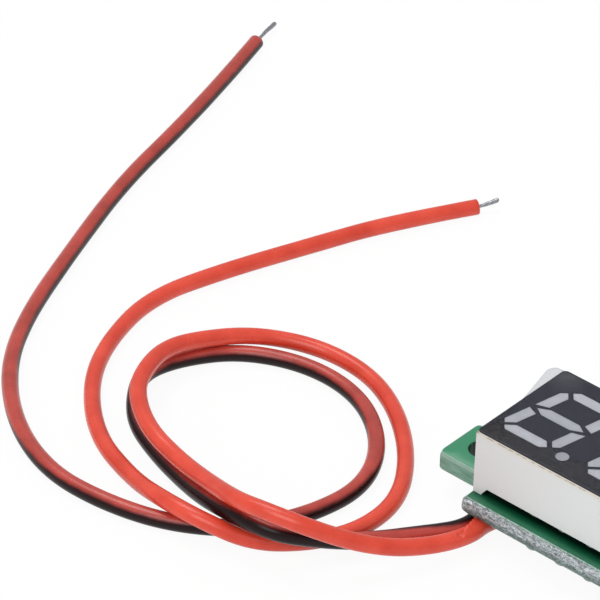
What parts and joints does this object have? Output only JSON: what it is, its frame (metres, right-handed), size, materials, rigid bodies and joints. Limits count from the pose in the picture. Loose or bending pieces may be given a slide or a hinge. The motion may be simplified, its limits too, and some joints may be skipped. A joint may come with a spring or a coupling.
{
  "type": "digital panel meter",
  "caption": "Small digital panel meter: segment display in a white housing on a green board with drilled ears, and supply leads from the back",
  "frame": {"origin": "under the middle of the circuit board, at the tips of the display's pins, on which the module stands", "axes": "+X along the digits in reading order, +Y towards the tops of the digits, +Z out of the display's face"},
  "size_m": [0.085, 0.0593, 0.0089],
  "materials": {
    "solder_mask": "satin",
    "white_plastic": "fine moulded",
    "face_grey": "matt printed",
    "light_guide": "diffusing",
    "laminate": "bare laminate",
    "led_die": "gloss",
    "clear_film": "clear",
    "black_epoxy": "matt moulded",
    "tinned_metal": "tinned",
    "solder": "bright solder",
    "capacitor_ceramic": "sintered",
    "resistor_ceramic": "glazed",
    "trimmer_ceramic": "sintered",
    "brass": "stamped",
    "red_insulation": "extruded",
    "two_tone_insulation": "extruded, brick red and black"
  },
  "bodies": {
    "module": {"circuit_board": "solder_mask", "display_housing": "white_plastic", "display_face": "face_grey", "left_digit_segments": "light_guide", "middle_digit_segments": "light_guide", "right_digit_segments": "light_guide", "decimal_points": "light_guide", "led_board": "laminate", "led_chips": "led_die", "upper_pins": "tinned_metal", "upper_pin_joints": "solder", "lower_pins": "tinned_metal", "lower_pin_joints": "solder", "protective_film": "clear_film", "microcontroller": "black_epoxy", "microcontroller_leads": "tinned_metal", "voltage_regulator": "black_epoxy", "regulator_leads": "tinned_metal", "protection_diode": "black_epoxy", "diode_terminals": "tinned_metal", "ceramic_capacitors": "capacitor_ceramic", "chip_resistors": "resistor_ceramic", "chip_terminals": "tinned_metal", "trimmer_body": "trimmer_ceramic", "trimmer_terminals": "tinned_metal", "lead_solder_joints": "solder", "red_lead": "red_insulation", "red_lead_board_end": "tinned_metal", "red_lead_tip": "tinned_metal", "dark_lead": "two_tone_insulation", "dark_lead_board_end": "tinned_metal", "dark_lead_tip": "tinned_metal"},
    "rotor": {"trimmer_rotor": "brass"}
  },
  "joints": [
    {"name": "trimmer_turn", "type": "hinge", "parent": "module", "child": "rotor", "pos_m": [0.00925, 0.00285, 0.001], "axis": [0, 0, -1], "range_deg": [-115, 115]}
  ]
}
